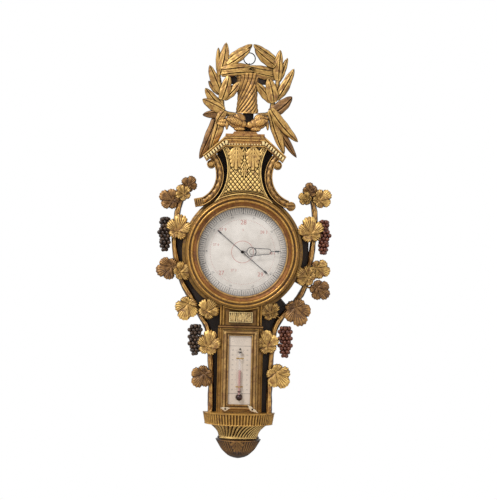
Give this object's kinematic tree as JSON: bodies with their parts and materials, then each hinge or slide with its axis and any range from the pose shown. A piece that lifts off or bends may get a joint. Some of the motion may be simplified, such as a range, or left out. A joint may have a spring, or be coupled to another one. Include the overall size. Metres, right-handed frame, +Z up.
{
  "type": "aneroid wall barometer",
  "caption": "Carved giltwood wall barometer: glazed round dial in a turned drum, dove and laurel wreath crest, fruiting vines, and a spirit thermometer above a console pendant.",
  "frame": {"origin": "point on the wall plane on the axis of the dial, centre of the back cover's rear face", "axes": "+Z up, +X to the viewer's right, -Y out of the wall towards the viewer"},
  "size_m": [0.4183, 0.07, 0.9933],
  "materials": {
    "gilt": "carved and water-gilt over reddish bole, worn on the edges",
    "bole": "dark stained softwood",
    "dark_wood": "dark stained wood, matt",
    "grape_dark": "carved, bronzed dark brown",
    "clear_glass": "polished clear",
    "dial_card": "printed card on a thin metal plate, matt",
    "scale_card": "cream printed card, matt",
    "brass": "lacquered, slightly tarnished",
    "dark_brass": "darkened",
    "steel": "fine ground",
    "blued_steel": "heat blued",
    "silvered": "nickel-silver sheet",
    "iron": "dark drawn wire",
    "spirit": "tinted liquid"
  },
  "bodies": {
    "case": {"back_cover": "bole", "back_cover_screws": "steel", "backboard": "dark_wood", "bezel_moulding": "gilt", "bridge_plate": "brass", "capsule": "silvered", "case_ledge": "gilt", "console_gadroon": "gilt", "console_pendant": "gilt", "console_shelf": "gilt", "cornice": "gilt", "cornice_cap": "gilt", "dial_glass": "clear_glass", "dial_plate": "dial_card", "dial_screws": "steel", "dove_left": "gilt", "dove_plinth": "gilt", "dove_right": "gilt", "drum_case": "gilt", "frame_pins": "brass", "glass_bead": "bole", "grapes_left": "grape_dark", "grapes_right": "grape_dark", "hairspring": "blued_steel", "hanger_staple": "iron", "movement_base_plate": "brass", "movement_pillars": "brass", "movement_screws": "steel", "movement_top_plate": "brass", "neck_panel": "gilt", "neck_scroll_left": "gilt", "neck_scroll_right": "gilt", "quiver": "gilt", "rocker_posts": "brass", "spring_bridge": "brass", "tablet": "gilt", "thermometer_box": "gilt", "thermometer_frame": "gilt", "thermometer_scale": "scale_card", "thermometer_spirit": "spirit", "thermometer_tube": "clear_glass", "tube_clips": "brass", "vine_left": "gilt", "vine_right": "gilt", "wreath_branch_left": "gilt", "wreath_branch_right": "gilt", "wreath_crossbar": "dark_wood"},
    "pointer": {"hand_arbor": "steel", "pressure_hand": "blued_steel"},
    "sector": {"sector_gear": "brass"},
    "rocker": {"rocking_shaft": "steel"},
    "lever": {"main_spring": "steel", "main_lever": "brass", "lever_link": "steel"},
    "stud": {"capsule_stud": "steel"},
    "marker": {"set_hand": "dark_brass", "set_hand_knob": "brass"},
    "ring": {"hanging_ring": "iron"},
    "adjuster": {"adjusting_screw": "steel"}
  },
  "joints": [
    {"name": "pressure_hand_turn", "type": "hinge", "parent": "case", "child": "pointer", "pos_m": [0, -0.04, 0], "axis": [0, 1, 0], "range_deg": [-100, 200]},
    {"name": "sector_swing", "type": "hinge", "parent": "case", "child": "sector", "pos_m": [-0.04208, -0.022, 0.01286], "axis": [0, 1, 0], "range_deg": [-20.5, 10.5]},
    {"name": "rocker_turn", "type": "hinge", "parent": "case", "child": "rocker", "pos_m": [0, -0.013, 0.01546], "axis": [1, 0, 0], "range_deg": [-14, 27]},
    {"name": "lever_tilt", "type": "hinge", "parent": "case", "child": "lever", "pos_m": [0, -0.0178, -0.072], "axis": [1, 0, 0], "range_deg": [-2.7, 1.4]},
    {"name": "capsule_lift", "type": "slide", "parent": "case", "child": "stud", "axis": [0, -1, 0], "range_m": [-0.0016, 0.0009]},
    {"name": "set_hand_turn", "type": "hinge", "parent": "case", "child": "marker", "pos_m": [0, -0.047, 0], "axis": [0, 1, 0], "continuous": true},
    {"name": "ring_swing", "type": "hinge", "parent": "case", "child": "ring", "pos_m": [0.006, -0.006, 0.44975], "axis": [1, 0, 0], "range_deg": [-8, 75]},
    {"name": "adjusting_screw_turn", "type": "hinge", "parent": "case", "child": "adjuster", "pos_m": [0, -0.003, -0.038], "axis": [0, 1, 0], "continuous": true}
  ],
  "couplings": [
    {"joint": "sector_swing", "follows": "pressure_hand_turn", "ratio": -0.1},
    {"joint": "rocker_turn", "follows": "pressure_hand_turn", "ratio": 0.1333},
    {"joint": "lever_tilt", "follows": "pressure_hand_turn", "ratio": -0.0131},
    {"joint": "capsule_lift", "follows": "pressure_hand_turn", "m_per_rad": -0.0004454}
  ]
}
